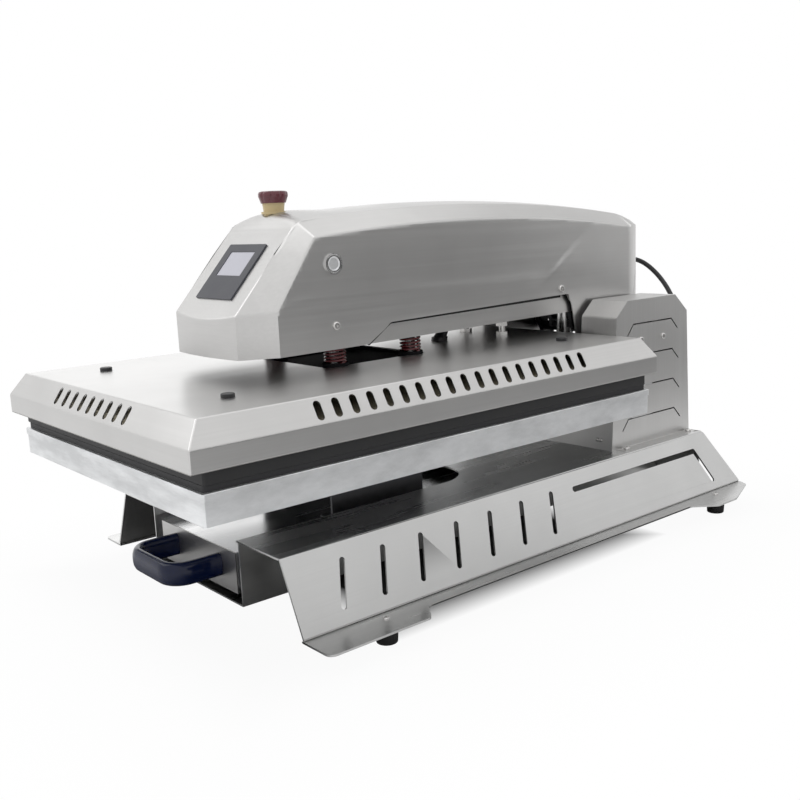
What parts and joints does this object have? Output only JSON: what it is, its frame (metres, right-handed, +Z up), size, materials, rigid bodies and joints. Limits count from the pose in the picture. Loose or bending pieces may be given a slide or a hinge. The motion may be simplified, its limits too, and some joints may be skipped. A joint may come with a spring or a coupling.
{
  "type": "slide-out heat press",
  "caption": "Free-standing heat press with a heated platen on a hinged arm, a lower table on a slide-out drawer, a screen and an emergency stop.",
  "frame": {"origin": "middle of the footprint, on the surface that the feet stand on, cable left out", "axes": "+Z up, +Y from the front with the drawer handle to the rear column, +X to the machine's right side seen from its front"},
  "size_m": [0.567, 0.997, 0.5125],
  "materials": {
    "base_stainless": "satin",
    "bezel_grey": "satin",
    "black_plastic": "matte",
    "board_green": "satin",
    "bronze": "satin",
    "brushed_sheet": "satin",
    "cable_black": "satin",
    "dark_steel": "satin",
    "drawer_steel": "bright",
    "foot_rubber": "matte",
    "ground_steel": "polished",
    "handle_blue": "gloss",
    "mineral_wool": "matte",
    "plain_aluminium": "satin",
    "plate_coating": "satin",
    "screen_glass": "gloss",
    "screw_steel": "bright",
    "silicone": "matte",
    "slide_zinc": "satin",
    "spring_red": "gloss",
    "stop_red": "gloss",
    "stop_yellow": "gloss"
  },
  "bodies": {
    "base": {"base_deck": "base_stainless", "drawer_channel": "base_stainless", "rubber_feet": "foot_rubber", "column_side_right": "brushed_sheet", "column_side_left": "brushed_sheet", "column_front_cover": "brushed_sheet", "column_rear_cover": "brushed_sheet", "base_fasteners": "screw_steel", "column_cable_gland": "black_plastic", "inlet_module": "black_plastic", "pivot_frames": "dark_steel", "pivot_shaft": "ground_steel", "shaft_collars": "screw_steel", "actuator_bracket": "dark_steel", "actuator_lower_pin": "ground_steel", "power_relay": "plain_aluminium", "slide_outer_members": "slide_zinc", "head_cable": "cable_black"},
    "mains_switch": {"mains_switch": "black_plastic"},
    "slide_middle": {"slide_middle_members": "slide_zinc"},
    "drawer": {"slide_inner_members": "slide_zinc", "drawer_box": "drawer_steel", "drawer_front": "brushed_sheet", "drawer_handle": "handle_blue", "drawer_fasteners": "screw_steel", "table_brackets": "dark_steel", "table_body": "plain_aluminium", "table_top": "plain_aluminium", "silicone_pad": "silicone"},
    "arm": {"arm_cover": "brushed_sheet", "arm_beam": "brushed_sheet", "arm_lever": "dark_steel", "arm_cover_screws": "screw_steel", "arm_cable_gland": "black_plastic", "pivot_bushes": "bronze", "actuator_upper_pin": "ground_steel", "spring_plate": "dark_steel", "guide_bushes": "bronze", "screen_bezel": "bezel_grey", "screen_glass": "screen_glass", "control_board": "board_green", "stop_collar": "stop_yellow", "button_bezels": "ground_steel"},
    "stop_stem": {"stop_stem": "black_plastic"},
    "stop_head": {"stop_head": "stop_red"},
    "push_button_right": {"push_button_right": "ground_steel"},
    "push_button_left": {"push_button_left": "ground_steel"},
    "platen": {"heater_cover": "brushed_sheet", "cover_plugs": "black_plastic", "heater_plate": "plate_coating", "heating_element": "screw_steel", "heater_insulation": "mineral_wool", "platen_stiffener": "dark_steel", "platen_posts": "screw_steel", "post_nuts": "screw_steel", "spring_seats": "screw_steel", "platen_cable_gland": "black_plastic", "pressure_springs": "spring_red"},
    "actuator_body": {"actuator_body": "plain_aluminium"},
    "actuator_rod": {"actuator_rod": "ground_steel"}
  },
  "joints": [
    {"name": "drawer_slide", "type": "slide", "parent": "base", "child": "drawer", "axis": [0, -1, 0], "range_m": [0, 0.58]},
    {"name": "slide_middle_travel", "type": "slide", "parent": "base", "child": "slide_middle", "axis": [0, -1, 0], "range_m": [0, 0.29]},
    {"name": "arm_hinge", "type": "hinge", "parent": "base", "child": "arm", "pos_m": [0, 0.39, 0.29], "axis": [-1, 0, 0], "range_deg": [0, 12], "deforming": ["head_cable"]},
    {"name": "actuator_swing", "type": "hinge", "parent": "base", "child": "actuator_body", "pos_m": [0.018, 0.318, 0.136], "axis": [-1, 0, 0], "range_deg": [0, 0.93]},
    {"name": "actuator_extend", "type": "slide", "parent": "actuator_body", "child": "actuator_rod", "axis": [0, 0, 1], "range_m": [0, 0.015]},
    {"name": "platen_float", "type": "slide", "parent": "arm", "child": "platen", "axis": [0, 0, 1], "range_m": [0, 0.006], "stiffness_N_per_m": 8000, "springref_m": -0.004, "deforming": ["pressure_springs"]},
    {"name": "stop_push", "type": "slide", "parent": "arm", "child": "stop_stem", "axis": [0, 0, -1], "range_m": [0, 0.004]},
    {"name": "stop_twist", "type": "hinge", "parent": "stop_stem", "child": "stop_head", "pos_m": [0, -0.217, 0.5], "axis": [0, 0, 1], "range_deg": [0, 45], "stiffness_Nm_per_rad": 0.1},
    {"name": "right_button_push", "type": "slide", "parent": "arm", "child": "push_button_right", "axis": [-1, 0, 0], "range_m": [0, 0.002], "stiffness_N_per_m": 1500, "springref_m": -0.002},
    {"name": "left_button_push", "type": "slide", "parent": "arm", "child": "push_button_left", "axis": [1, 0, 0], "range_m": [0, 0.002], "stiffness_N_per_m": 1500, "springref_m": -0.002},
    {"name": "mains_switch_tilt", "type": "hinge", "parent": "base", "child": "mains_switch", "pos_m": [0, 0.43522, 0.1815], "axis": [1, 0, 0], "range_deg": [0, 20]}
  ],
  "couplings": [
    {"joint": "slide_middle_travel", "follows": "drawer_slide", "ratio": 0.5},
    {"joint": "actuator_swing", "follows": "arm_hinge", "ratio": 0.0763},
    {"joint": "actuator_extend", "follows": "arm_hinge", "m_per_rad": 0.07096}
  ]
}
